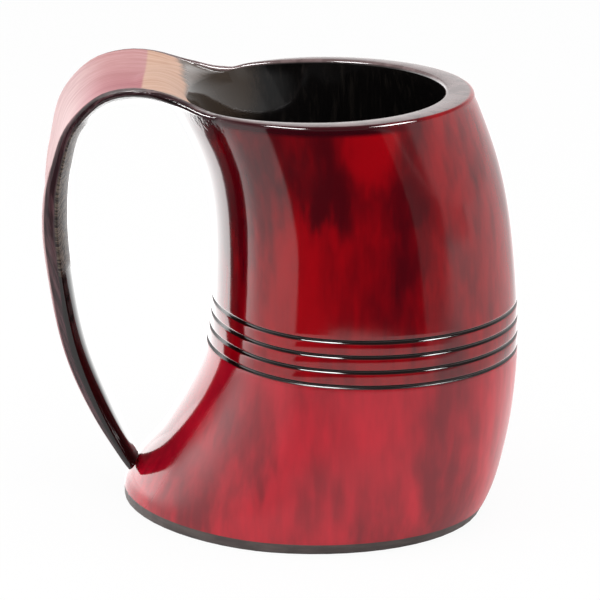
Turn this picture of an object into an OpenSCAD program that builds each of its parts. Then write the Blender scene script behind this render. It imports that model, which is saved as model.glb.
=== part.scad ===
// Horn drinking mug. One piece of horn makes the wall and the handle: the mouth rim is cut level,
// and a strip left standing on the hollow side is bent out, back and down to the foot.
// A dark disc is glued under the wide end and sealed inside with a bead of resin.
// Frame: the mug stands on Z = 0, the handle points to -X, and the photograph looks along +Y.

/* [Height] */
// Height of the level mouth rim
cup_height = 145; // [100:1:200]
// Thickness of the glued base disc
disc_thickness = 4; // [2:0.5:8]

/* [Hollow side, below the handle] */
// Reach of the foot from the axis
foot_hollow_reach = 62.5; // [50:0.5:80]
// Reach of the waist, the narrowest place
waist_hollow_reach = 30.5; // [24:0.5:45]
// Reach of the mouth
mouth_hollow_reach = 43.5; // [34:0.5:60]

/* [Round side, away from the handle] */
// Reach of the foot from the axis
foot_round_reach = 61.5; // [50:0.5:80]
// Reach of the belly, the widest place
belly_round_reach = 73.5; // [60:0.5:90]
// Reach of the mouth
mouth_round_reach = 57.5; // [45:0.5:75]

/* [Depth from front to back] */
// Half the depth of the belly
belly_half_depth = 50; // [40:0.5:65]

/* [Wall] */
// Wall at the foot
foot_wall = 5; // [3:0.1:7]
// Wall at the mouth on the handle side
mouth_hollow_wall = 6.2; // [4:0.1:9]
// Wall at the mouth on the round side
mouth_round_wall = 9.8; // [4:0.1:12]
// Wall at the mouth, front and back
mouth_side_wall = 7; // [5:0.1:9]
// How much more of the front wall than of the back wall is left at the mouth
front_wall_extra = 0.8; // [0:0.1:1.5]
// Rounding of the cut edges
edge_radius = 1.4; // [0.4:0.1:2]

/* [Grooves] */
// Height of the top groove
top_groove_height = 74.2; // [65:0.1:90]
// Distance between grooves
groove_pitch = 5.1; // [3:0.1:8]
// Number of grooves
groove_count = 4; // [1:1:6]
// Width of a groove
groove_width = 1.4; // [0.6:0.1:2.5]
// Depth of a groove
groove_depth = 0.6; // [0.2:0.1:1.2]

/* [Handle] */
// Farthest reach of the face that the fingers feel
handle_reach = 77.9; // [65:0.1:95]
// Height of the tip
tip_height = 16.4; // [14:0.1:40]
// Reach of the tip
tip_reach = 56.9; // [55:0.1:75]
// How far the tip's slanted end runs on past the finger face
tip_slant = 2.2; // [0.2:0.1:4]
// Half the width where the handle leaves the rim
root_half_width = 32.5; // [25:0.5:36]
// Half the width of the tip
tip_half_width = 6.4; // [3:0.1:12]
// Thickness along the middle of the grip
grip_thickness = 6.5; // [4:0.1:8]
// Thickness along the middle of the bow, drawn thin by the bending
bow_thickness = 4.1; // [2.5:0.1:6]
// Thickness of the tip
tip_thickness = 4.1; // [2:0.1:6]
// Length over which the rim sweeps up into the handle's edges
sweep_length = 11; // [8:0.5:20]
// How far the handle's back edge lies farther out than its front edge, as a share of its width
handle_skew_share = 0.1; // [0:0.01:0.2]

/* [Base disc and seal] */
// Rounding of the disc's lower edge
disc_rounding = 1; // [0.2:0.1:2]
// Height and width of the resin bead
bead_size = 2.5; // [1:0.1:5]

/* [Hidden] */
// Pieces that can be built one at a time
// Piece to build, or all
// Columns round the horn
columns = 60;
// Columns of the handle's root on each side of its middle line
root_columns = 8;
// Distance between plain rows of the wall
row_step = 6;
// Distance between rows of the handle
handle_row_step = 4;
// Rows over which the rim sweeps up
sweep_rows = 7;
// Steps in each rounded edge
edge_steps = 3;

// Levels from the foot to the mouth: foot, toe, flare, belly, waist, shoulder, mouth
level_height_shares = [0, 0.04, 0.18, 0.345, 0.58, 0.83, 1];
// Place of each level on the hollow side: 0 is the waist, 1 is the foot or the mouth
hollow_shares = [1, 1, 0.56, 0.17, 0, 0.19, 1];
// Place of each level on the round side: 0 is the foot or the mouth, 1 is the belly
round_shares = [0, 0.25, 0.75, 1, 0.94, 0.56, 0];
// Half depth of each level, as shares of the belly's
depth_shares = [0.97, 1, 1.02, 1, 1.01, 1, 1.04];
// Turn of the sections about Z, as the horn grew, and the levels' shares of height
turns = [-10, -18, -20, -12, 0];
turn_height_shares = [0, 0.3, 0.5, 0.8, 1];
belly_level = 3;
waist_level = 4;
// Roundness of the sections: 2 is an ellipse, less draws the hollow side to an edge
hollow_roundness = 1.8;
inner_mouth_roundness = 2.2;

// Path of the finger face's middle line from the rim to the tip.
// The first share runs from the mouth's reach to the handle's, the second from the tip to the rim.
route_shares = [
    [0, 1], [0.1, 1.013], [0.31, 1], [0.6, 0.988], [0.82, 0.935], [0.93, 0.834],
    [0.98, 0.7], [0.95, 0.523], [0.84, 0.331], [0.62, 0.148]
];
// Places along the handle, as shares of its length, where the thicknesses named above lie
thickness_place_shares = [0, 0.2, 0.5, 0.85, 1];
// Places along the handle where the next three tables are read
place_shares = [0, 0.1, 0.2, 0.35, 0.5, 0.7, 0.88, 1];
// Half width there: 1 is the root's, 0 is the tip's
width_shares = [1, 0.89, 0.77, 0.64, 0.49, 0.33, 0.17, 0];
// Radius of the hollow across the handle there, as shares of the root's half width
hollow_radius_shares = [1.48, 2.1, 2.85, 2.35, 1.77, 1.23, 0.8, 0.5];
// Thickness of the edges there, as shares of the middle's
edge_thickness_shares = [0.63, 0.57, 0.84, 1, 0.82, 0.69, 0.63, 0.64];
// Length over which the tip's slant grows, as a share of the slant
slant_fade_share = 5;
// Places along the handle, and the part of its skew that it has there
skew_place_shares = [0, 0.12, 0.35, 0.65, 1];
skew_shares = [0, 1.2, 1, 0.9, 0.2];

last_level = len(level_height_shares) - 1;
level_heights = cup_height * level_height_shares;
hollow_reaches = [
    for (i = [0:last_level])
        let (end_reach = i < waist_level ? foot_hollow_reach : mouth_hollow_reach)
        mix(waist_hollow_reach, end_reach, hollow_shares[i])
];
round_reaches = [
    for (i = [0:last_level])
        let (end_reach = i < belly_level ? foot_round_reach : mouth_round_reach)
        mix(end_reach, belly_round_reach, round_shares[i])
];
half_depths = belly_half_depth * depth_shares;
turn_heights = cup_height * turn_height_shares;

// Plain helpers
function mix(a, b, share) = a + (b - a) * share;
function unit(v) = v / norm(v);
function ease(share) = let (s = min(1, max(0, share))) s * s * (3 - 2 * s);
function power(base, exponent) = sign(base) * pow(abs(base), exponent);

// A smooth curve through the values ys at the places xs, read at x
function step_slope(xs, ys, i) = (ys[i + 1] - ys[i]) / (xs[i + 1] - xs[i]);
function inner_slope(xs, ys, i) =
    (step_slope(xs, ys, i - 1) * (xs[i + 1] - xs[i]) + step_slope(xs, ys, i) * (xs[i] - xs[i - 1]))
    / (xs[i + 1] - xs[i - 1]);
function slope(xs, ys, i) =
    let (last = len(xs) - 1)
    i == 0 ? 1.5 * step_slope(xs, ys, 0) - 0.5 * inner_slope(xs, ys, 1)
    : i == last ? 1.5 * step_slope(xs, ys, last - 1) - 0.5 * inner_slope(xs, ys, last - 1)
    : inner_slope(xs, ys, i);
function stretch(xs, x, i = 0) = i == len(xs) - 2 || x < xs[i + 1] ? i : stretch(xs, x, i + 1);
function curve(xs, ys, x) =
    let (i = stretch(xs, x), width = xs[i + 1] - xs[i], t = (x - xs[i]) / width)
    (2 * pow(t, 3) - 3 * t * t + 1) * ys[i] + (pow(t, 3) - 2 * t * t + t) * width * slope(xs, ys, i)
    + (3 * t * t - 2 * pow(t, 3)) * ys[i + 1] + (pow(t, 3) - t * t) * width * slope(xs, ys, i + 1);

// Sections of the horn. Column angles run from the round side (0) over the back to the handle (180).
function column_angle(k) = 360 * k / columns;
function section_point(hollow, far, depth, roundness, turn, angle) =
    let (
        centre = (far - hollow) / 2,
        exponent = cos(angle) < 0 ? 2 / roundness : 1,
        x = (far + hollow) / 2 * power(cos(angle), exponent),
        y = depth * power(sin(angle), exponent)
    )
    [centre + x * cos(turn) - y * sin(turn), x * sin(turn) + y * cos(turn)];
function turn_at(z) = curve(turn_heights, turns, z);
function outer_point(z, angle, inset = 0) =
    concat(section_point(
        curve(level_heights, hollow_reaches, z) - inset, curve(level_heights, round_reaches, z) - inset,
        curve(level_heights, half_depths, z) - inset, hollow_roundness, turn_at(z), angle), z);
function inner_point(z, angle, inset = 0) =
    let (
        up = z / cup_height,
        section = section_point(
            curve(level_heights, hollow_reaches, z) - mix(foot_wall, mouth_hollow_wall, up) - inset,
            curve(level_heights, round_reaches, z) - mix(foot_wall, mouth_round_wall, up) - inset,
            curve(level_heights, half_depths, z) - mix(foot_wall, mouth_side_wall, up) - inset,
            mix(hollow_roundness, inner_mouth_roundness, up), turn_at(z), angle)
    )
    [section[0], section[1] + front_wall_extra * up, z];

// Rows of the wall, from the disc to where the rim's rounding starts
rim_row_height = cup_height - edge_radius;
bottom_groove_height = top_groove_height - (groove_count - 1) * groove_pitch;
function rows_between(low, high) =
    let (count = ceil((high - low) / row_step))
    [for (i = [0:count]) mix(low, high, i / count)];
groove_rows = [
    for (i = [0:groove_count - 1], side = [-1:1])
        [bottom_groove_height + i * groove_pitch + side * groove_width / 2, side == 0 ? groove_depth : 0]
];
function plain_rows(low, high) = [for (z = rows_between(low, high)) [z, 0]];
outer_rows = concat(
    plain_rows(disc_thickness, bottom_groove_height - groove_pitch / 2), groove_rows,
    plain_rows(top_groove_height + groove_pitch / 2, rim_row_height));
inner_rows = concat([disc_thickness],
    rows_between(disc_thickness + bead_size, rim_row_height));
outer_skin = [
    for (row = outer_rows) [for (k = [0:columns - 1]) outer_point(row[0], column_angle(k), row[1])]
];
inner_skin = [for (z = inner_rows) [for (k = [0:columns - 1]) inner_point(z, column_angle(k))]];

// Handle's root: the columns of the rim's last row that the strip goes on from
root_first = columns / 2 - root_columns;
root_last = columns / 2 + root_columns;
rim_row = outer_skin[len(outer_skin) - 1];
inner_rim_row = inner_skin[len(inner_skin) - 1];
rim_half_width = rim_row[root_first][1];
root_reach = -rim_row[columns / 2][0];

// Middle line of the handle's finger face in the XZ plane, read by the length of its chords
route_points = concat(
    [for (share = route_shares) [
        -mix(root_reach, handle_reach, share[0]), 0, mix(tip_height, rim_row_height, share[1])]],
    [[-tip_reach, 0, tip_height]]);
function chord_sums(points, i = 0, sum = 0) =
    i == len(points) - 1 ? [sum]
    : concat([sum], chord_sums(points, i + 1, sum + norm(points[i + 1] - points[i])));
route_places = chord_sums(route_points);
handle_length = route_places[len(route_places) - 1];
function route_at(s) = curve(route_places, route_points, s);
difference_step = handle_length / 1000;
function route_direction(s) = unit(route_at(s + difference_step) - route_at(s - difference_step));

// Sizes along the handle
handle_places = place_shares * handle_length;
hollow_radii = root_half_width * hollow_radius_shares;
half_widths = [for (share = width_shares) mix(tip_half_width, root_half_width, share)];
thickness_places = thickness_place_shares * handle_length;
thicknesses = [mouth_hollow_wall, bow_thickness, grip_thickness, grip_thickness, tip_thickness];
function skew_at(s) =
    handle_skew_share * curve(handle_length * skew_place_shares, skew_shares, s);
function sweep_share(s) = pow(max(0, 1 - s / sweep_length), 2);
function half_width_at(s) =
    let (plain = curve(handle_places, half_widths, s))
    plain + (rim_half_width - root_half_width) * sweep_share(s);
handle_row_count = ceil((handle_length - sweep_length) / handle_row_step);
handle_row_places = concat(
    [for (i = [1:sweep_rows]) sweep_length * (1 - cos(90 * i / sweep_rows))],
    [for (i = [1:handle_row_count]) mix(sweep_length, handle_length, i / handle_row_count)]);

// Arc across the handle, level at the root like the rim's own curve, and square to the middle line
// farther on. The first rows keep the rim's exact shape.
rim_radius = hollow_radii[0];
function across_share(k) = asin(rim_row[k][1] / rim_radius) / asin(rim_half_width / rim_radius);
function radius_at(s) = max(curve(handle_places, hollow_radii, s), half_width_at(s));
function up_at(s) =
    let (along = route_direction(s))
    unit(mix([1, 0, 0], [along[2], 0, -along[0]], ease(s / (2 * sweep_length))));
function arc_point(s, share) =
    let (radius = radius_at(s), angle = asin(half_width_at(s) / radius) * share)
    route_at(s) + radius * (1 - cos(angle)) * up_at(s) + radius * sin(angle) * [-skew_at(s), 1, 0];
function strip_point(s, k) =
    arc_point(s, across_share(k))
    + (rim_row[k] - arc_point(0, across_share(k))) * (1 - ease(s / sweep_length));
row_places = concat([0], handle_row_places);
arc_rows = [for (s = row_places) [for (k = [root_first:root_last]) strip_point(s, k)]];

// Finger face of the handle: flatter than the arc in the middle and rounder at its edges
function arc_rise(s) = radius_at(s) * (1 - cos(asin(half_width_at(s) / radius_at(s))));
function finger_point(j, c) =
    let (s = row_places[j], share = across_share(root_first + c), grown = ease(s / (3 * sweep_length)))
    arc_rows[j][c] - grown * arc_rise(s) * (pow(share, 2) - pow(share, 4)) * up_at(s);
finger_rows = [
    for (j = [0:len(arc_rows) - 1]) [for (c = [0:2 * root_columns]) finger_point(j, c)]
];

// Top face of the handle: the arc moved out along its own normals
below_rim = [for (k = [root_first:root_last]) outer_skin[len(outer_skin) - 2][k]];
function normal_at(j, c) =
    let (
        last_row = len(arc_rows) - 1,
        last_column = 2 * root_columns,
        lower = j == 0 ? below_rim[c] : arc_rows[j - 1][c],
        upper = arc_rows[min(j + 1, last_row)][c],
        right = arc_rows[j][min(c + 1, last_column)],
        left = arc_rows[j][max(c - 1, 0)]
    )
    unit(cross(right - left, upper - lower));
function thickness_at(j, c) =
    let (
        s = row_places[j],
        share = pow((c - root_columns) / root_columns, 2),
        middle = curve(thickness_places, thicknesses, s)
    )
    middle * mix(1, curve(handle_places, edge_thickness_shares, s), share);
function slant_at(s) = tip_slant * ease(1 - (handle_length - s) / (slant_fade_share * tip_slant));
function moved_point(j, c) =
    arc_rows[j][c] - thickness_at(j, c) * normal_at(j, c)
    + slant_at(row_places[j]) * route_direction(row_places[j]);
top_rows = [
    for (j = [0:len(arc_rows) - 1]) [
        for (c = [0:2 * root_columns])
            let (fade = 1 - ease(row_places[j] / sweep_length))
            moved_point(j, c) + (inner_rim_row[root_first + c] - moved_point(0, c)) * fade
    ]
];

// Cut edge: it runs round the rim, up one side of the handle, over the tip and down the other side
outer_ends = len(outer_rows) - 1;
inner_ends = len(inner_rows) - 1;
handle_ends = len(finger_rows) - 1;
handle_columns = 2 * root_columns + 1;
inner_start = len(outer_rows) * columns;
finger_start = inner_start + len(inner_rows) * columns;
top_start = finger_start + handle_ends * handle_columns;
edge_start = top_start + handle_ends * handle_columns;
function outer_id(row, k) = row * columns + k % columns;
function inner_id(row, k) = inner_start + row * columns + k % columns;
function finger_id(j, c) =
    j == 0 ? outer_id(outer_ends, root_first + c) : finger_start + (j - 1) * handle_columns + c;
function top_id(j, c) =
    j == 0 ? inner_id(inner_ends, root_first + c) : top_start + (j - 1) * handle_columns + c;
edge_ids = concat(
    [for (k = [root_last:columns + root_first]) [outer_id(outer_ends, k), inner_id(inner_ends, k)]],
    [for (j = [1:handle_ends]) [finger_id(j, 0), top_id(j, 0)]],
    [for (c = [1:handle_columns - 2]) [finger_id(handle_ends, c), top_id(handle_ends, c)]],
    [for (j = [handle_ends:-1:1]) [finger_id(j, handle_columns - 1), top_id(j, handle_columns - 1)]]);
edge_count = len(edge_ids);
edge_loops = 2 * edge_steps;

function flat(rows) = [for (row = rows) for (point = row) point];
function after_first(rows) = [for (i = [1:len(rows) - 1]) rows[i]];
skin_points = concat(flat(outer_skin), flat(inner_skin),
    flat(after_first(finger_rows)), flat(after_first(top_rows)));
// Most of a thin edge that its rounding may take
edge_radius_share = 0.42;
function edge_point(b, loop) =
    let (
        finger = skin_points[edge_ids[b][0]],
        across = skin_points[edge_ids[b][1]] - finger,
        thickness = norm(across),
        before = edge_ids[(b + edge_count - 1) % edge_count],
        after = edge_ids[(b + 1) % edge_count],
        outward = unit(cross(skin_points[after[0]] - skin_points[before[0]], across)),
        radius = min(edge_radius, edge_radius_share * thickness),
        on_finger_side = loop <= edge_steps,
        angle = 90 / edge_steps * (on_finger_side ? loop : edge_loops + 1 - loop),
        depth = radius * (1 - cos(angle))
    )
    finger + unit(across) * (on_finger_side ? depth : thickness - depth) + outward * radius * sin(angle);
edge_points = [for (loop = [1:edge_loops], b = [0:edge_count - 1]) edge_point(b, loop)];
function edge_id(loop, b) =
    let (place = b % edge_count)
    loop == 0 ? edge_ids[place][0]
    : loop > edge_loops ? edge_ids[place][1]
    : edge_start + (loop - 1) * edge_count + place;

// Two triangles for a patch whose corners run counterclockwise when seen from outside
function patch(a, b, c, d) = [[a, c, b], [a, d, c]];
horn_faces = concat(
    [for (row = [0:outer_ends - 1], k = [0:columns - 1]) each patch(
        outer_id(row, k), outer_id(row, k + 1), outer_id(row + 1, k + 1), outer_id(row + 1, k))],
    [for (row = [0:inner_ends - 1], k = [0:columns - 1]) each patch(
        inner_id(row, k), inner_id(row + 1, k), inner_id(row + 1, k + 1), inner_id(row, k + 1))],
    [for (k = [0:columns - 1]) each patch(
        outer_id(0, k + 1), outer_id(0, k), inner_id(0, k), inner_id(0, k + 1))],
    [for (j = [0:handle_ends - 1], c = [0:handle_columns - 2]) each patch(
        finger_id(j, c), finger_id(j, c + 1), finger_id(j + 1, c + 1), finger_id(j + 1, c))],
    [for (j = [0:handle_ends - 1], c = [0:handle_columns - 2]) each patch(
        top_id(j, c + 1), top_id(j, c), top_id(j + 1, c), top_id(j + 1, c + 1))],
    [for (loop = [0:edge_loops], b = [0:edge_count - 1]) each patch(
        edge_id(loop, b), edge_id(loop, b + 1), edge_id(loop + 1, b + 1), edge_id(loop + 1, b))]);

// Faces of a stack of rings, each ring one row of columns, and of a closed loop of such rings
function ring_id(ring, k) = ring * columns + k % columns;
function ring_patch(low, high, k) =
    patch(ring_id(low, k), ring_id(low, k + 1), ring_id(high, k + 1), ring_id(high, k));
function stack_faces(rings) = concat(
    [[for (k = [0:columns - 1]) ring_id(0, k)]],
    [for (ring = [0:rings - 2], k = [0:columns - 1]) each ring_patch(ring, ring + 1, k)],
    [[for (k = [columns - 1:-1:0]) ring_id(rings - 1, k)]]);
function loop_faces(rings) =
    [for (ring = [0:rings - 1], k = [0:columns - 1]) each ring_patch(ring, (ring + 1) % rings, k)];

// Piece of horn: wall, mouth rim, engraved grooves and bent handle
module horn_wall_and_handle() {
    color("darkred")
        polyhedron(points = concat(skin_points, edge_points), faces = horn_faces, convexity = 10);
}

// Disc under the wide end, flush with the wall all round
disc_rows = concat(
    [for (i = [0:edge_steps])
        let (angle = 90 * i / edge_steps)
        [disc_rounding * (1 - cos(angle)), disc_rounding * (1 - sin(angle))]],
    [[disc_thickness, 0]]);
module base_disc() {
    color("dimgray")
        polyhedron(
            points = [
                for (row = disc_rows, k = [0:columns - 1]) outer_point(row[0], column_angle(k), row[1])
            ],
            faces = stack_faces(len(disc_rows)), convexity = 4);
}

// Resin in the inner corner between the wall and the disc, with a hollow face
bead_face_share = 0.35;
bead_rows = [
    [disc_thickness, bead_size],
    [disc_thickness, 0],
    [disc_thickness + bead_size, 0],
    [disc_thickness + bead_size * bead_face_share, bead_size * bead_face_share]
];
module seal_bead() {
    color("goldenrod")
        polyhedron(
            points = [
                for (row = bead_rows, k = [0:columns - 1]) inner_point(row[0], column_angle(k), row[1])
            ],
            faces = loop_faces(len(bead_rows)), convexity = 4);
}

horn_wall_and_handle();
base_disc();
seal_bead();
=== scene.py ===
import math

import bpy
import numpy as np
from mathutils import Matrix, Vector


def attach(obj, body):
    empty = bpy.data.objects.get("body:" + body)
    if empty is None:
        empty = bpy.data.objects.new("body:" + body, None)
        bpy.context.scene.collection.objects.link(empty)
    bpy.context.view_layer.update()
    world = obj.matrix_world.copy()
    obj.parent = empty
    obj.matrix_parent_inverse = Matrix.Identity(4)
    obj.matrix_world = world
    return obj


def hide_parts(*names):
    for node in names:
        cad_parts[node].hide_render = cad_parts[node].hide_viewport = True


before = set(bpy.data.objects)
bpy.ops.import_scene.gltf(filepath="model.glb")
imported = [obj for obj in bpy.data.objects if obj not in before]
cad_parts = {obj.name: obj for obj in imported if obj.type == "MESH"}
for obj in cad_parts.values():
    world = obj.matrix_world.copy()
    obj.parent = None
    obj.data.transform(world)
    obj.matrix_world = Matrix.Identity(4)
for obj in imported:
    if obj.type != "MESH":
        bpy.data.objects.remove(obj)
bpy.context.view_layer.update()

# Wall of the mug: one piece of natural horn, wide at the foot and cut level at the mouth, turned a
# little as it grew. It is scraped, sanded, dyed red outside and black inside, and lacquered, and
# four lines are engraved round its belly. Each level gives its reaches on two sides and its depth.
CUP_HEIGHT = 0.145
DISC_THICKNESS = 0.004
EDGE_RADIUS = 0.0014
RIM_ROW = CUP_HEIGHT - EDGE_RADIUS
LEVELS = CUP_HEIGHT * np.array([0, 0.04, 0.18, 0.345, 0.58, 0.83, 1])
HOLLOW_REACHES = np.array([0.0625, 0.0625, 0.04842, 0.03594, 0.0305, 0.03297, 0.0435])
ROUND_REACHES = np.array([0.0615, 0.0645, 0.0705, 0.0735, 0.07254, 0.06646, 0.0575])
HALF_DEPTHS = 0.050 * np.array([0.97, 1, 1.02, 1, 1.01, 1, 1.04])
TURN_LEVELS = CUP_HEIGHT * np.array([0, 0.3, 0.5, 0.8, 1])
TURNS = np.radians([-10, -18, -20, -12, 0])
HOLLOW_ROUNDNESS = 1.8
INNER_MOUTH_ROUNDNESS = 2.2
FOOT_WALL = 0.005
MOUTH_WALLS = (0.0062, 0.0098, 0.007)
FRONT_WALL_EXTRA = 0.0008
OUTER_ROW_STEP = 0.0022
INNER_ROW_STEP = 0.004
COLUMNS = 180
COLUMN_ANGLES = 2 * np.pi * np.arange(COLUMNS) / COLUMNS
GROOVE_HEIGHTS = [0.0589, 0.064, 0.0691, 0.0742]
GROOVE_HALF_WIDTH = 0.0008
GROOVE_DEPTH = 0.0006
GROOVE_MARGIN = 0.002


def mix(a, b, share):
    return a + (b - a) * share


def ease(share):
    share = np.clip(share, 0, 1)
    return share * share * (3 - 2 * share)


def smooth_curve(places, values, at):
    """A smooth curve through the values at their places, read at one place or at many."""
    places, values, at = np.asarray(places, float), np.asarray(values, float), np.asarray(at, float)
    as_column = (-1,) + (1,) * (values.ndim - 1)
    widths = np.diff(places)
    steps = np.diff(values, axis=0) / widths.reshape(as_column)
    slopes = np.empty_like(values)
    before, after = widths[:-1].reshape(as_column), widths[1:].reshape(as_column)
    slopes[1:-1] = (steps[:-1] * after + steps[1:] * before) / (before + after)
    slopes[0] = 1.5 * steps[0] - 0.5 * slopes[1]
    slopes[-1] = 1.5 * steps[-1] - 0.5 * slopes[-2]
    i = np.clip(np.searchsorted(places, at, side="right") - 1, 0, len(widths) - 1)
    width = widths[i]
    t = (at - places[i]) / width
    if values.ndim > 1:
        width, t = width[..., None], t[..., None]
    return (
        (2 * t**3 - 3 * t**2 + 1) * values[i]
        + (t**3 - 2 * t**2 + t) * width * slopes[i]
        + (3 * t**2 - 2 * t**3) * values[i + 1]
        + (t**3 - t**2) * width * slopes[i + 1]
    )


def wall_points(heights, angles, walls, roundness, inset=0.0):
    """Points of the horn's sections: ovals, drawn to an edge on the hollow side, and turned.

    The walls are taken off the hollow side, the round side and the half depth.
    """
    hollow = smooth_curve(LEVELS, HOLLOW_REACHES, heights) - walls[0] - inset
    far = smooth_curve(LEVELS, ROUND_REACHES, heights) - walls[1] - inset
    depth = smooth_curve(LEVELS, HALF_DEPTHS, heights) - walls[2] - inset
    turn = smooth_curve(TURN_LEVELS, TURNS, heights)
    cosine, sine = np.cos(angles), np.sin(angles)
    # The two columns at the widest place, where the cosine is nearly 0, count as the round side
    exponent = np.where(cosine < -1e-9, 2 / roundness, 1.0)
    x = (far + hollow) / 2 * np.sign(cosine) * np.abs(cosine) ** exponent
    y = depth * np.sign(sine) * np.abs(sine) ** exponent
    return np.stack(
        [
            (far - hollow) / 2 + x * np.cos(turn) - y * np.sin(turn),
            x * np.sin(turn) + y * np.cos(turn),
            heights + 0 * angles,
        ],
        axis=-1,
    )


def outer_wall(heights, angles, inset=0.0):
    return wall_points(heights, angles, (0, 0, 0), HOLLOW_ROUNDNESS, inset)


def inner_wall(heights, angles):
    up = heights / CUP_HEIGHT
    walls = [mix(FOOT_WALL, mouth_wall, up) for mouth_wall in MOUTH_WALLS]
    roundness = mix(HOLLOW_ROUNDNESS, INNER_MOUTH_ROUNDNESS, up)
    points = wall_points(heights, angles, walls, roundness)
    points[..., 1] += FRONT_WALL_EXTRA * up
    return points


def spaced(low, high, step):
    return list(np.linspace(low, high, int(math.ceil((high - low) / step)) + 1))


# Rows of the outside, with a soft V at each groove, and rows of the inside
groove_places = GROOVE_HALF_WIDTH * np.array([-1.5, -1, -0.6, -0.25, 0, 0.25, 0.6, 1, 1.5])
groove_insets = GROOVE_DEPTH * np.array([0, 0.08, 0.5, 0.92, 1, 0.92, 0.5, 0.08, 0])
below_heights = spaced(DISC_THICKNESS, GROOVE_HEIGHTS[0] - GROOVE_MARGIN, OUTER_ROW_STEP)
above_heights = spaced(GROOVE_HEIGHTS[-1] + GROOVE_MARGIN, RIM_ROW, OUTER_ROW_STEP)
rows = [(z, 0.0) for z in below_heights]
for groove in GROOVE_HEIGHTS:
    rows += list(zip(groove + groove_places, groove_insets))
rows += [(z, 0.0) for z in above_heights]
row_heights, row_insets = np.array(rows).T
outer_skin = outer_wall(row_heights[:, None], COLUMN_ANGLES[None], row_insets[:, None])
inner_heights = np.array(spaced(DISC_THICKNESS, RIM_ROW, INNER_ROW_STEP))
inner_skin = inner_wall(inner_heights[:, None], COLUMN_ANGLES[None])

# Handle: a strip of the same wall, left standing on the hollow side when the mouth was cut. It is
# narrowed, heated and bent out, back and down until its slanted tip touches the flare of the foot.
# Its hollow face is the horn's inside, scraped pale, and its finger face is the horn's outside.
ROOT_COLUMNS = 24
STRIP_COLUMNS = 2 * ROOT_COLUMNS + 1
SWEEP_ROWS = 14
HANDLE_ROW_STEP = 0.0016
FINGER_REACH = 0.0779
TIP = (-0.0569, 0.0, 0.0164)
TIP_SLANT = 0.0022
SLANT_FADE_SHARE = 5
ROOT_HALF_WIDTH = 0.0325
TIP_HALF_WIDTH = 0.0064
GRIP_THICKNESS = 0.0065
BOW_THICKNESS = 0.0041
TIP_THICKNESS = 0.0041
SWEEP_LENGTH = 0.011
LEVEL_LENGTH = 0.002
LEVEL_FADE = 1.5 * SWEEP_LENGTH
SQUARE_LENGTH = 2 * SWEEP_LENGTH
ROUNDING_LENGTH = 3 * SWEEP_LENGTH
BEND_LENGTH = 0.010
RIM_RUN_OUT = 0.015
SKEW = 0.1
# Middle line of the finger face: how far out it is and how high, from the root to the tip
ROUTE_SHARES = [
    (0, 1), (0.1, 1.013), (0.31, 1), (0.6, 0.988), (0.82, 0.935), (0.93, 0.834),
    (0.98, 0.7), (0.95, 0.523), (0.84, 0.331), (0.62, 0.148),
]
PLACES = np.array([0, 0.1, 0.2, 0.35, 0.5, 0.7, 0.88, 1])
WIDTH_SHARES = np.array([1, 0.89, 0.77, 0.64, 0.49, 0.33, 0.17, 0])
HOLLOW_RADII = ROOT_HALF_WIDTH * np.array([1.48, 2.1, 2.85, 2.35, 1.77, 1.23, 0.8, 0.5])
EDGE_SHARES = np.array([0.63, 0.57, 0.84, 1, 0.82, 0.69, 0.63, 0.64])
THICKNESS_PLACES = np.array([0, 0.2, 0.5, 0.85, 1])
THICKNESSES = np.array(
    [MOUTH_WALLS[0], BOW_THICKNESS, GRIP_THICKNESS, GRIP_THICKNESS, TIP_THICKNESS]
)
SKEW_PLACES = np.array([0, 0.12, 0.35, 0.65, 1])
SKEW_SHARES = np.array([0, 1.2, 1, 0.9, 0.2])

root = slice(COLUMNS // 2 - ROOT_COLUMNS, COLUMNS // 2 + ROOT_COLUMNS + 1)
rim_row, inner_rim_row = outer_skin[-1, root], inner_skin[-1, root]
root_reach = -rim_row[ROOT_COLUMNS, 0]
rim_half_width = rim_row[0, 1]
route = np.array(
    [(-mix(root_reach, FINGER_REACH, out), 0, mix(TIP[2], RIM_ROW, up)) for out, up in ROUTE_SHARES]
    + [TIP]
)
route_places = np.concatenate([[0], np.cumsum(np.linalg.norm(np.diff(route, axis=0), axis=1))])
handle_length = route_places[-1]
sweep_steps = SWEEP_LENGTH * (1 - np.cos(np.linspace(0, np.pi / 2, SWEEP_ROWS + 1)))
leg_steps = spaced(SWEEP_LENGTH, handle_length, HANDLE_ROW_STEP)[1:]
along = np.concatenate([sweep_steps, leg_steps])


def units(vectors):
    return vectors / np.linalg.norm(vectors, axis=-1, keepdims=True)


def route_directions(places):
    step = handle_length / 1000
    ahead = smooth_curve(route_places, route, places + step)
    return units(ahead - smooth_curve(route_places, route, places - step))


# Finger face: a gutter that starts as the rim's own row, and narrows along the middle line
half_widths = smooth_curve(
    handle_length * PLACES, mix(TIP_HALF_WIDTH, ROOT_HALF_WIDTH, WIDTH_SHARES), along
)
sweep = np.clip(1 - along / SWEEP_LENGTH, 0, 1) ** 2
half_widths += (rim_half_width - half_widths[0]) * sweep
radii = np.maximum(smooth_curve(handle_length * PLACES, HOLLOW_RADII, along), half_widths)
across = np.arcsin(rim_row[:, 1] / HOLLOW_RADII[0]) / np.arcsin(rim_half_width / HOLLOW_RADII[0])
turns = np.arcsin(half_widths / radii)[:, None] * across[None]
directions = route_directions(along)
square = np.stack([directions[:, 2], 0 * along, -directions[:, 0]], axis=-1)
up = units(mix(np.array([1.0, 0, 0]), square, ease(along / SQUARE_LENGTH)[:, None]))
skews = SKEW * smooth_curve(handle_length * SKEW_PLACES, SKEW_SHARES, along)
sideways = np.stack([-skews, 1 + 0 * along, 0 * along], axis=-1)
finger_face = (
    smooth_curve(route_places, route, along)[:, None]
    + (radii[:, None] * (1 - np.cos(turns)))[..., None] * up[:, None]
    + (radii[:, None] * np.sin(turns))[..., None] * sideways[:, None]
)
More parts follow.
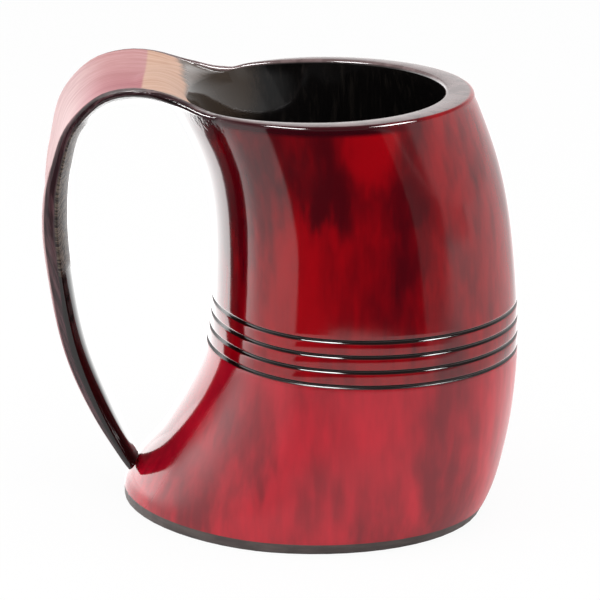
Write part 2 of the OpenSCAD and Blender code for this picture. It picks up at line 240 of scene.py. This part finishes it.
fade = (1 - ease(along / SWEEP_LENGTH))[:, None, None]
finger_face += (rim_row - finger_face[0]) * fade

# It leaves the rim level, before it takes up the slope of the middle line
settling = LEVEL_LENGTH * (1 - np.exp(-along / LEVEL_LENGTH))
settling *= 1 - ease(along / LEVEL_FADE)
finger_face[..., 2] -= directions[0, 2] * settling[:, None]

# Top face: the finger face moved by the strip's thickness, and led into the inside of the wall
lengthwise = np.gradient(finger_face, along, axis=0)
crosswise = np.gradient(finger_face, axis=1)
normals = units(np.cross(crosswise, lengthwise))
column_shares = (np.arange(STRIP_COLUMNS) - ROOT_COLUMNS) / ROOT_COLUMNS
edge_shares = smooth_curve(handle_length * PLACES, EDGE_SHARES, along)
thicknesses = smooth_curve(handle_length * THICKNESS_PLACES, THICKNESSES, along)[:, None]
thicknesses = thicknesses * mix(1, edge_shares[:, None], column_shares[None] ** 2)
slants = TIP_SLANT * ease(1 - (handle_length - along) / (SLANT_FADE_SHARE * TIP_SLANT))
top_face = finger_face - thicknesses[..., None] * normals
top_face += (slants[:, None] * directions)[:, None]
middle_fade = np.clip(1 - along / BEND_LENGTH, 0, 1)[:, None] ** 3
edge_fade = 1 - ease(along / RIM_RUN_OUT)[:, None]
root_fade = mix(middle_fade, edge_fade, column_shares**2)
top_face += (inner_rim_row - top_face[0]) * root_fade[..., None]

# The finger face is flatter than the gutter in its middle and rounder at its edges
rises = radii * (1 - np.cos(turns[:, -1]))
rounding = np.abs(across) ** 2 - np.abs(across) ** 4
rounding = rounding * rises[:, None] * ease(along / ROUNDING_LENGTH)[:, None]
finger_face -= rounding[..., None] * up[:, None]

# Skins of the horn, joined in one mesh. Each point keeps its place in the straight horn before the
# strip was bent, where the grain runs upright, its depth in the wall, from the outside (0) to the
# inside (1), and on the strip how far aside it lies, from -1 at the front to 1 at the back.
EDGE_STEPS = 5
EDGE_SMOOTHING = 10
EDGE_SHARE_AT_MOST = 0.42
SHARP_ANGLE = 50
outer_count, inner_count = len(outer_skin) * COLUMNS, len(inner_skin) * COLUMNS
strip_count = (len(along) - 1) * STRIP_COLUMNS
outer_ids = np.arange(outer_count).reshape(-1, COLUMNS)
inner_ids = outer_count + np.arange(inner_count).reshape(-1, COLUMNS)
finger_ids = outer_count + inner_count + np.arange(strip_count).reshape(-1, STRIP_COLUMNS)
top_ids = finger_ids + finger_ids.size
finger_ids = np.concatenate([outer_ids[-1:, root], finger_ids])
top_ids = np.concatenate([inner_ids[-1:, root], top_ids])
straight_finger = np.repeat(finger_face[None, 0], len(along) - 1, axis=0)
straight_finger[..., 1] = finger_face[1:, :, 1]
straight_finger[..., 2] += along[1:, None]
straight_top = straight_finger + (inner_rim_row - rim_row)
skins = (outer_skin, inner_skin, finger_face[1:], top_face[1:])
skin_points = np.concatenate([skin.reshape(-1, 3) for skin in skins])
straight_skins = (outer_skin, inner_skin, straight_finger, straight_top)
grains = np.concatenate([skin.reshape(-1, 3) for skin in straight_skins])
depths = np.repeat([0.0, 1.0, 0.0, 1.0], [outer_count, inner_count, strip_count, strip_count])
strip_asides = np.tile(across, 2 * (len(along) - 1))
asides = np.concatenate([np.zeros(outer_count + inner_count), strip_asides])

# Cut edge: it runs round the rim, out along the handle, over the tip and back. Pairs of points lie
# on both sides of it, and loops of points round it off between them
rim_columns = np.arange(root.stop - 1, COLUMNS + root.start + 1) % COLUMNS
cut_pairs = np.concatenate(
    [
        np.stack([outer_ids[-1, rim_columns], inner_ids[-1, rim_columns]], axis=-1),
        np.stack([finger_ids[1:, 0], top_ids[1:, 0]], axis=-1),
        np.stack([finger_ids[-1, 1:-1], top_ids[-1, 1:-1]], axis=-1),
        np.stack([finger_ids[:0:-1, -1], top_ids[:0:-1, -1]], axis=-1),
    ]
)
cut_outer, cut_inner = skin_points[cut_pairs[:, 0]], skin_points[cut_pairs[:, 1]]
run = np.roll(cut_outer, -1, axis=0) - np.roll(cut_outer, 1, axis=0)
cut_widths = np.linalg.norm(cut_inner - cut_outer, axis=-1)
cut_across = units(cut_inner - cut_outer)
outward = units(np.cross(run, cut_across))
for _ in range(EDGE_SMOOTHING):
    outward = outward * 0.5 + (np.roll(outward, 1, axis=0) + np.roll(outward, -1, axis=0)) * 0.25
    outward = units(outward - (outward * cut_across).sum(axis=-1, keepdims=True) * cut_across)
cut_radii = np.minimum(EDGE_RADIUS, EDGE_SHARE_AT_MOST * cut_widths)
quarter = np.linspace(0, np.pi / 2, EDGE_STEPS + 1)[1:]
loops, loop_depths = [], []
for angle, from_finger in [(a, True) for a in quarter] + [(a, False) for a in quarter[::-1]]:
    inset = cut_radii * (1 - math.cos(angle))
    place = inset if from_finger else cut_widths - inset
    rise = cut_radii * math.sin(angle)
    loops.append(cut_outer + cut_across * place[:, None] + outward * rise[:, None])
    loop_depths.append(place / cut_widths)
cut_start = len(skin_points)
loop_ids = cut_start + np.arange(len(loops) * len(cut_pairs)).reshape(len(loops), -1)
cut_ids = np.concatenate([cut_pairs[None, :, 0], loop_ids, cut_pairs[None, :, 1]])
cut_grain = [mix(grains[cut_pairs[:, 0]], grains[cut_pairs[:, 1]], d[:, None]) for d in loop_depths]
points = np.concatenate([skin_points] + loops)
grains = np.concatenate([grains] + cut_grain)
depths = np.concatenate([depths] + loop_depths)
asides = np.concatenate([asides] + [asides[cut_pairs[:, 0]]] * len(loops))
cuts = np.concatenate([np.zeros(cut_start), np.ones(len(points) - cut_start)])


def quads(ids, turned=False, closed=False):
    """Four-sided faces between neighbouring rows and columns of point numbers."""
    if closed:
        ids = np.concatenate([ids, ids[:, :1]], axis=1)
    corners = [ids[:-1, :-1], ids[:-1, 1:], ids[1:, 1:], ids[1:, :-1]]
    if turned:
        corners.reverse()
    return np.stack([c.reshape(-1) for c in corners], axis=-1)


faces = np.concatenate(
    [
        quads(outer_ids, closed=True),
        quads(inner_ids, turned=True, closed=True),
        quads(np.stack([outer_ids[0], inner_ids[0]]), turned=True, closed=True),
        quads(finger_ids),
        quads(top_ids, turned=True),
        quads(cut_ids, closed=True),
    ]
)
horn_mesh = bpy.data.meshes.new("horn")
horn_mesh.from_pydata(points.tolist(), [], faces.tolist())
grain_attribute = horn_mesh.attributes.new("grain", "FLOAT_VECTOR", "POINT")
grain_attribute.data.foreach_set("vector", grains.reshape(-1))
for name, values in [("depth", depths), ("aside", asides), ("cut", cuts)]:
    horn_mesh.attributes.new(name, "FLOAT", "POINT").data.foreach_set("value", values)
horn = bpy.data.objects.new("horn", horn_mesh)
bpy.context.scene.collection.objects.link(horn)
bpy.ops.object.select_all(action="DESELECT")
horn.select_set(True)
bpy.context.view_layer.objects.active = horn
bpy.ops.object.shade_smooth_by_angle(angle=math.radians(SHARP_ANGLE))


class Wire:
    """A number or colour in a material. Sums on it add the nodes that work them out."""

    def __init__(self, finish, socket):
        self.finish, self.socket = finish, socket

    def maths(self, operation, *values):
        return self.finish.node("ShaderNodeMath", {"operation": operation}, dict(enumerate(values)))

    def __add__(self, other):
        return self.maths("ADD", self, other)

    def __sub__(self, other):
        return self.maths("SUBTRACT", self, other)

    def __rsub__(self, other):
        return self.maths("SUBTRACT", other, self)

    def __mul__(self, other):
        return self.maths("MULTIPLY", self, other)

    __radd__, __rmul__ = __add__, __mul__

    def __truediv__(self, other):
        return self.maths("DIVIDE", self, other)

    def __pow__(self, other):
        return self.maths("POWER", self, other)

    def __abs__(self):
        return self.maths("ABSOLUTE", self)

    def rise(self, low, high):
        """0 below low, 1 above high, and smooth between; low above high makes it fall."""
        if low > high:
            return 1 - self.rise(high, low)
        settings = {"interpolation_type": "SMOOTHSTEP"}
        return self.finish.node("ShaderNodeMapRange", settings, {0: self, 1: low, 2: high})

    def band(self, low, high, soft):
        return self.rise(low - soft, low + soft) * self.rise(high + soft, high - soft)


class Nodes:
    """The node tree of a material or of the world, filled in code."""

    def __init__(self, owner, shader):
        owner.use_nodes = True
        self.tree = owner.node_tree
        self.shader = self.tree.nodes[shader]

    def feed(self, socket, value):
        self.plug(self.shader.inputs[socket], value)

    def plug(self, socket, value):
        if isinstance(value, Wire):
            self.tree.links.new(value.socket, socket)
        elif socket.type == "RGBA":
            socket.default_value = (*value, 1)
        else:
            socket.default_value = value

    def node(self, kind, settings=None, inputs=None, output=0):
        made = self.tree.nodes.new(kind)
        for key, value in (settings or {}).items():
            setattr(made, key, value)
        for key, value in (inputs or {}).items():
            self.plug(made.inputs[key], value)
        return Wire(self, made.outputs[output])

    def attribute(self, name, output="Fac"):
        return self.node("ShaderNodeAttribute", {"attribute_name": name}, output=output)

    def stretched(self, vector, scales):
        return self.node("ShaderNodeVectorMath", {"operation": "MULTIPLY"}, {0: vector, 1: scales})

    def part(self, vector, axis):
        return self.node("ShaderNodeSeparateXYZ", {}, {0: vector}, output=axis)

    def noise(self, vector, scales, detail=3, roughness=0.5):
        inputs = {"Vector": self.stretched(vector, scales), "Scale": 1, "Detail": detail}
        inputs["Roughness"] = roughness
        return self.node("ShaderNodeTexNoise", {}, inputs)

    def blend(self, a, b, share):
        return self.node("ShaderNodeMix", {"data_type": "RGBA"}, {0: share, 6: a, 7: b}, output=2)

    def bump(self, height, distance, strength):
        inputs = {"Height": height, "Distance": distance, "Strength": strength}
        return self.node("ShaderNodeBump", {}, inputs)


class Finish(Nodes):
    """A material round one Principled shader."""

    def __init__(self, name, **sockets):
        self.material = bpy.data.materials.new(name)
        super().__init__(self.material, "Principled BSDF")
        for socket, value in sockets.items():
            self.feed(socket.replace("_", " "), value)


# Finish of the horn. Dye sinks into it unevenly: upright streaks of bright red and dark maroon
# outside, black inside and in the grooves, pale peach to pink on the scraped bow. A dye patch is a
# place on the front where it took darker or brighter: X, Z, half width, half height, change.
DYE_PATCHES = [
    (0.023, 0.136, 0.008, 0.010, -0.30),
    (0.008, 0.133, 0.009, 0.018, 0.26),
    (0.022, 0.119, 0.016, 0.010, 0.14),
    (-0.018, 0.130, 0.013, 0.022, 0.20),
    (0.037, 0.128, 0.006, 0.016, 0.08),
    (-0.018, 0.104, 0.009, 0.012, 0.16),
    (0.004, 0.092, 0.010, 0.018, -0.20),
    (0.040, 0.108, 0.008, 0.016, 0.18),
    (0.030, 0.092, 0.010, 0.018, 0.10),
    (-0.016, 0.040, 0.010, 0.016, 0.20),
    (-0.037, 0.016, 0.014, 0.013, 0.26),
    (0.050, 0.034, 0.009, 0.032, 0.32),
    (0.026, 0.016, 0.008, 0.016, 0.14),
    (-0.045, 0.102, 0.020, 0.038, 0.30),
    (-0.042, 0.143, 0.014, 0.012, 0.60),
]
PATCH_FADE = 2.2
BRIGHT_RED, MAROON = (0.34, 0.0, 0.004), (0.070, 0.0, 0.003)
FOOT_RED = (0.66, 0.010, 0.034)
# Colour of the painted shade just below the rim
RIM_SHADE_MAROON = (0.036, 0.0, 0.003)
GROOVE_BLACK = (0.008, 0.002, 0.002)
CUP_BLACK, CUP_SMOKE = (0.004, 0.0035, 0.0035), (0.012, 0.010, 0.009)
THIN_DYE = (0.040, 0.028, 0.020)
# Colour of the painted reflection at the root of the bow
REFLECTED_GREY = (0.20, 0.17, 0.155)
SMUDGE_GREY = (0.26, 0.22, 0.20)
LEG_ROSE = (0.30, 0.13, 0.14)
LEG_BLACK = (0.012, 0.006, 0.007)
FINGER_BLACK = (0.005, 0.003, 0.003)
FILED_HORN = (0.17, 0.135, 0.10)
TIP_BLACK = (0.006, 0.003, 0.003)
SCUFF_BLACK = (0.020, 0.005, 0.007)
dyed_horn = Finish("dyed_horn", IOR=1.52)
solid_place = dyed_horn.node("ShaderNodeTexCoord", output="Object")
solid_x, solid_y, solid_z = (dyed_horn.part(solid_place, axis) for axis in "XYZ")
to_handle, to_front = 0 - solid_x, 0 - solid_y
grain = dyed_horn.attribute("grain", "Vector")
grain_x, grain_y, height = (dyed_horn.part(grain, axis) for axis in "XYZ")
depth, cut, aside = (dyed_horn.attribute(name) for name in ("depth", "cut", "aside"))
past_rim = height - RIM_ROW
streaks = dyed_horn.noise(grain, (220, 220, 60), detail=2)
fine_streaks = dyed_horn.noise(grain, (800, 800, 45), roughness=0.6)
clouds = dyed_horn.noise(grain, (60, 60, 30))

# Dye of the outside, a dark line of painted shade just below the rim, and the black in the grooves
dye = 0.50 * streaks + 0.60 * clouds + 0.12 * fine_streaks - 0.07
drift = height + 0.024 * (streaks - 0.5)
on_front = grain_y.rise(0.01, -0.01)
for x, z, half_width, half_height, change in DYE_PATCHES:
    reach = ((grain_x - x) / half_width) ** 2 + ((drift - z) / half_height) ** 2
    dye = dye + change * (reach.rise(PATCH_FADE, 0.0) * on_front)
darkness = dye.rise(0.22, 0.92)
red = dyed_horn.blend(BRIGHT_RED, MAROON, darkness)
below_grooves = height.rise(0.061, 0.056)
brighter = 0.62 * below_grooves * (1 - 0.7 * darkness)
red = dyed_horn.blend(red, FOOT_RED, brighter)
# Painted shade: a dark maroon line just under the rim's rounded edge, fading out on the right
painted_rim_shade = past_rim.rise(-0.0026, -0.0008) * grain_x.rise(0.046, 0.024)
red = dyed_horn.blend(red, RIM_SHADE_MAROON, painted_rim_shade)
groove_line = sum((abs(height - z).rise(0.0009, 0.0006) for z in GROOVE_HEIGHTS), start=0.0)
red = dyed_horn.blend(red, GROOVE_BLACK, groove_line * cut.rise(0.5, 0.2))

# Hollow side: black in the cup, then thin dye, a painted grey reflection, peach and pink over the
# bow, dark down the leg
black = dyed_horn.blend(CUP_BLACK, CUP_SMOKE, fine_streaks.rise(0.5, 0.7))
bow_grain = dyed_horn.noise(grain, (900, 900, 22), detail=4, roughness=0.7).rise(0.3, 0.7)
peach = dyed_horn.blend((0.50, 0.28, 0.19), (0.62, 0.40, 0.30), bow_grain)
pink = dyed_horn.blend((0.46, 0.20, 0.20), (0.55, 0.29, 0.29), bow_grain)
deep_pink = dyed_horn.blend((0.36, 0.09, 0.11), (0.46, 0.15, 0.17), bow_grain)
pale_pink = dyed_horn.blend((0.46, 0.27, 0.27), (0.60, 0.40, 0.40), bow_grain)
pink = dyed_horn.blend(pink, deep_pink, to_front.rise(-0.028, 0.012))
pink = dyed_horn.blend(pink, pale_pink, to_handle.rise(0.064, 0.080))
outwards = 0.006 * (clouds - 0.5) + 0.002 * bow_grain - solid_x - 0.22 * solid_y
bow = (past_rim + solid_z - RIM_ROW).rise(-0.001, 0.003)
thinned = outwards.rise(0.004, 0.014) * past_rim.rise(-0.020, -0.010)
hollow = dyed_horn.blend(black, THIN_DYE, thinned)
# Painted reflection: pale grey at the root of the bow, before the peach
hollow = dyed_horn.blend(hollow, REFLECTED_GREY, outwards.rise(0.024, 0.035) * bow)
hollow = dyed_horn.blend(hollow, peach, outwards.rise(0.0355, 0.0385) * bow)
smudge = ((solid_x + 0.043) / 0.009) ** 2 + ((solid_y + 0.024) / 0.004) ** 2
hollow = dyed_horn.blend(hollow, SMUDGE_GREY, smudge.rise(2.0, 0.4))
hollow = dyed_horn.blend(hollow, pink, (to_handle - 0.04 * solid_y).rise(0.0505, 0.0515))
hollow = dyed_horn.blend(hollow, LEG_ROSE, past_rim.rise(0.07, 0.11))
hollow = dyed_horn.blend(hollow, LEG_BLACK, past_rim.rise(0.13, 0.16))

# Finger side: black, with pale slanted marks of the file along one edge
finger = dyed_horn.blend(red, FINGER_BLACK, past_rim.rise(0.0, 0.008))
filed = past_rim.band(0.028, 0.080, 0.003) * aside.rise(-0.45, -0.6) * depth.rise(0.3, 0.1)
strokes = {0: 300 * grain_x, 1: 1500 * (height + grain_y), 2: 260 * (height - grain_y)}
strokes = dyed_horn.node("ShaderNodeCombineXYZ", {}, strokes)
files = dyed_horn.noise(strokes, (1, 1, 1), detail=2, roughness=0.7)
finger = dyed_horn.blend(finger, FILED_HORN, filed * files.rise(0.42, 0.60))
colour = dyed_horn.blend(finger, hollow, depth.rise(0.4, 0.6))

# Cut edge: a grey flat on the rim and scratched maroon edges on the handle
rim_edge = dyed_horn.blend((0.12, 0.075, 0.075), (0.18, 0.12, 0.12), streaks.rise(0.4, 0.6))
scratches = fine_streaks.rise(0.42, 0.62)
handle_edge = dyed_horn.blend((0.026, 0.010, 0.013), (0.095, 0.040, 0.047), scratches)
handle_edge = dyed_horn.blend(handle_edge, TIP_BLACK, past_rim.rise(0.12, 0.16))
lip = past_rim.rise(0.026, 0.010)
on_handle = past_rim.rise(0.001, 0.005) * (1 - lip * depth.rise(0.42, 0.52))
edge = dyed_horn.blend(rim_edge, handle_edge, on_handle)
flat = (depth - 0.25 * past_rim.rise(0.07, 0.11)).rise(0.10, 0.20)
margin = 0.1 * past_rim.rise(0.03, 0.06) - 0.2 * (lip * bow)
flat = cut * flat * (depth + margin).rise(0.96, 0.86)
colour = dyed_horn.blend(colour, edge, flat)

# Scuffs: a dark nicked patch at the handle's root, where the saw and the file came round
scuffed = past_rim.band(-0.003, 0.034, 0.004) * grain_x.rise(-0.018, -0.028)
scuffed = scuffed * to_front.rise(0.020, 0.028) * depth.rise(0.9, 0.8)
nicks = dyed_horn.noise(grain, (600, 600, 420), detail=2, roughness=0.7)
colour = dyed_horn.blend(colour, SCUFF_BLACK, scuffed * nicks.rise(0.62, 0.44))
dyed_horn.feed("Base Color", colour)

# Gloss: high all over, duller on the flare of the foot, on the scraped bow and where it was filed
dull = below_grooves * (grain_x - 0.62 * height).rise(-0.0575, -0.0535) * depth.rise(0.5, 0.2)
satin = bow * outwards.rise(0.034, 0.038) * depth.rise(0.5, 0.7)
dull_grooves = groove_line * grain_x.rise(-0.022, -0.030)
roughness = 0.05 + 0.06 * fine_streaks + 0.4 * filed + 0.08 * flat + 0.28 * dull
dyed_horn.feed("Roughness", roughness + 0.5 * satin + 0.6 * dull_grooves)
surface = 0.6 * clouds + 0.04 * fine_streaks + filed * files + scuffed * (files + 3 * nicks)
dyed_horn.feed("Normal", dyed_horn.bump(surface, 0.0003, 0.35))
horn.data.materials.append(dyed_horn.material)
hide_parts("horn_wall_and_handle")
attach(horn, "root")

# Base disc: a dark plate of dyed wood, glued under the wide end and sanded flush with the wall, so
# its edge is satin and a little uneven where the sanding belt left it.
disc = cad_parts["base_disc"]
dark_base = Finish("dark_base")
place = dark_base.node("ShaderNodeTexCoord", output="Object")
wear = dark_base.noise(place, (90, 90, 500), detail=4, roughness=0.6)
wood = dark_base.blend((0.045, 0.032, 0.030), (0.085, 0.065, 0.060), wear.rise(0.35, 0.7))
dark_base.feed("Base Color", wood)
dark_base.feed("Roughness", 0.38 + 0.25 * wear)
dark_base.feed("Normal", dark_base.bump(wear, 0.0003, 0.5))
disc.data.materials.clear()
disc.data.materials.append(dark_base.material)

# Seal: a bead of amber resin run into the corner between the wall and the disc, so that the cup
# holds drink. Its face draws hollow as it sets.
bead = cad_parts["seal_bead"]
resin = Finish("resin", Roughness=0.12, Coat_Weight=0.5)
place = resin.node("ShaderNodeTexCoord", output="Object")
flow = resin.noise(place, (120, 120, 60), detail=2)
amber = resin.blend((0.10, 0.05, 0.015), (0.20, 0.11, 0.04), flow.rise(0.3, 0.7))
resin.feed("Base Color", amber)
resin.feed("Normal", resin.bump(flow, 0.0002, 0.4))
bead.data.materials.clear()
bead.data.materials.append(resin.material)

# Table: a white sheet. A black cloth lies on it in front of the mug, and the room behind the
# camera is dark as well, so the gloss of the front wall shows the dye. The camera sees only white.
CLOTH_MIDDLE = 0.05
CLOTH_EDGE = 0.274
CLOTH_LEFT_EXTRA = 0.047
CLOTH_END = 2.6
CLOTH_SPREAD = 1.05
CLOTH_TURN = -0.06
SIDE_BLUR = 0.01
RIGHT_SPREAD = 3
RIGHT_FADE = 0.4
EDGE_BLUR = 0.008
LEFT_BLUR_EXTRA = 0.02
WHITE_SHEET = (0.86, 0.86, 0.86)
BLACK_CLOTH = (0.02, 0.02, 0.02)
SHEET_SHOWN = 0.93
BACK_GLOW = 3.2


def in_front(along_x, along_y):
    """1 in the dark sector in front of the mug; its right side fades out over a wide angle."""
    ahead = 0 - along_y
    beside = along_x - CLOTH_TURN * ahead
    left_end = (ahead * CLOTH_SPREAD + beside).rise(-SIDE_BLUR, SIDE_BLUR)
    right_end = (ahead * CLOTH_SPREAD - beside).rise(-SIDE_BLUR, SIDE_BLUR)
    right_fade = (ahead * RIGHT_SPREAD - beside).rise(0, RIGHT_FADE)
    return left_end * (0.3 * right_end + 0.7 * right_fade)


bpy.ops.object.select_all(action="DESELECT")
bpy.ops.mesh.primitive_plane_add(size=6)
floor = bpy.context.object
floor.name = "floor"
paper = Finish("paper", Roughness=0.6, Specular_IOR_Level=0.2)
ground = paper.node("ShaderNodeTexCoord", output="Object")
ground_x, ground_y = paper.part(ground, "X"), paper.part(ground, "Y")
far = (ground_y * ground_y + (ground_x - CLOTH_MIDDLE) ** 2) ** 0.5
far = far + CLOTH_LEFT_EXTRA * ground_x.rise(-0.03, -0.20)
edge_blur = EDGE_BLUR + LEFT_BLUR_EXTRA * ground_x.rise(-0.10, -0.20)
cloth = ((far - CLOTH_EDGE) / edge_blur).rise(-1, 1) * far.rise(CLOTH_END + 0.1, CLOTH_END)
cloth = cloth * in_front(ground_x, ground_y)
paper.feed("Base Color", paper.blend(WHITE_SHEET, BLACK_CLOTH, cloth))
camera_ray = paper.node("ShaderNodeLightPath", output="Is Camera Ray")
glossy_ray = paper.node("ShaderNodeLightPath", output="Is Glossy Ray")
glow = paper.node("ShaderNodeEmission", {}, {"Color": (1, 1, 1), "Strength": 1.0})
back_white = paper.blend((1, 1, 1), (0.35, 0.35, 0.35), ground_x.rise(-0.1, 0.3))
back_glow = paper.node("ShaderNodeEmission", {}, {"Color": back_white, "Strength": BACK_GLOW})
lit = Wire(paper, paper.shader.outputs[0])
mirrored = glossy_ray * ground_y.rise(-0.05, 0.08)
lit = paper.node("ShaderNodeMixShader", {}, {0: mirrored, 1: lit, 2: back_glow})
whitened = camera_ray * mix(SHEET_SHOWN, 1, cloth)
shown = paper.node("ShaderNodeMixShader", {}, {0: whitened, 1: lit, 2: glow})
paper.plug(paper.tree.nodes["Material Output"].inputs["Surface"], shown)
floor.data.materials.append(paper.material)

# Room: a white tent, brightest behind the mug on the left, and dark low down behind the camera.
# Only gloss sees these differences; the light that the tent sheds is even.
TENT_LIGHT = 0.8
BACK_LIGHT = 0.5
BACK_LEFT_EXTRA = 2.7
BACK_RIGHT_LESS = 0.3
TOP_LESS = 0.8
world = bpy.data.worlds.new("tent")
bpy.context.scene.world = world
tent = Nodes(world, "Background")
direction = tent.node("ShaderNodeTexCoord")
side, deep, tall = (tent.part(direction, axis) for axis in "XYZ")
back_left, back_right = side.rise(-0.15, -0.5), side.rise(0.15, 0.5)
back_light = BACK_LIGHT + BACK_LEFT_EXTRA * back_left - BACK_RIGHT_LESS * back_right
dark = in_front(side, deep) * tall.rise(0.45, 0.08)
gloss = (TENT_LIGHT + back_light * deep.rise(-0.3, 0.3)) * (1 - dark)
gloss = gloss * (1 - TOP_LESS * tall.rise(0.15, 0.55))
camera_ray = tent.node("ShaderNodeLightPath", output="Is Camera Ray")
glossy_ray = tent.node("ShaderNodeLightPath", output="Is Glossy Ray")
light = TENT_LIGHT + (gloss - TENT_LIGHT) * glossy_ray
tent.feed("Color", (1, 1, 1))
tent.feed("Strength", camera_ray + (1 - camera_ray) * light)

# Lights: two large soft boxes beside the mug and one above it, which the gloss doesn't show, and
# two smaller ones high up, which only the gloss shows, as glints on grooves and rounded edges.
TARGET = Vector((0, 0, 0.0723))


def way_back(azimuth, elevation):
    """The way from the mug to a stand. Azimuth 0 is the camera's side, 90 is the mug's right."""
    a, e = math.radians(azimuth), math.radians(elevation)
    return Vector((math.sin(a) * math.cos(e), -math.cos(a) * math.cos(e), math.sin(e)))


def soft_box(name, azimuth, elevation, distance, width, length, radiance, glint=False):
    """A soft box aimed at the mug. It lights all but the gloss or, as a glint, the gloss alone."""
    back = way_back(azimuth, elevation)
    data = bpy.data.lights.new(name, "AREA")
    data.shape, data.size, data.size_y = "RECTANGLE", width, length
    data.energy = radiance * math.pi * width * length
    box = bpy.data.objects.new(name, data)
    box.location = TARGET + back * distance
    box.rotation_mode = "QUATERNION"
    box.rotation_quaternion = (-back).to_track_quat("-Z", "Y")
    box.visible_glossy = glint
    box.visible_diffuse = not glint
    bpy.context.scene.collection.objects.link(box)


soft_box("left_box", -80, 25, 1.0, 0.8, 0.8, 1.6)
soft_box("right_box", 80, 25, 1.0, 0.8, 0.8, 1.4)
soft_box("top_box", 0, 75, 1.1, 1.0, 0.8, 1.6)
soft_box("left_glint", -42, 55, 1.0, 0.45, 0.25, 40, glint=True)
soft_box("right_glint", 75, 52, 1.0, 0.45, 0.25, 40, glint=True)

# Camera: a long lens a little above the rim, turned by half a degree as the photograph is.
AZIMUTH, ELEVATION, DISTANCE, ROLL = 2.0, 17.75, 0.876, 0.43
SENSOR_WIDTH = 36
FOCAL_PIXELS = 2592
PHOTO_WIDTH = 600
lens = bpy.data.cameras.new("camera")
lens.sensor_width = SENSOR_WIDTH
lens.lens = SENSOR_WIDTH * FOCAL_PIXELS / PHOTO_WIDTH
camera = bpy.data.objects.new("camera", lens)
bpy.context.scene.collection.objects.link(camera)
back = way_back(AZIMUTH, ELEVATION)
roll = Matrix.Rotation(math.radians(-ROLL), 3, "Z")
turn = (-back).to_track_quat("-Z", "Y").to_matrix() @ roll
camera.matrix_world = Matrix.Translation(TARGET + back * DISTANCE) @ turn.to_4x4()
bpy.context.scene.camera = camera
bpy.context.scene.view_settings.view_transform = "Standard"
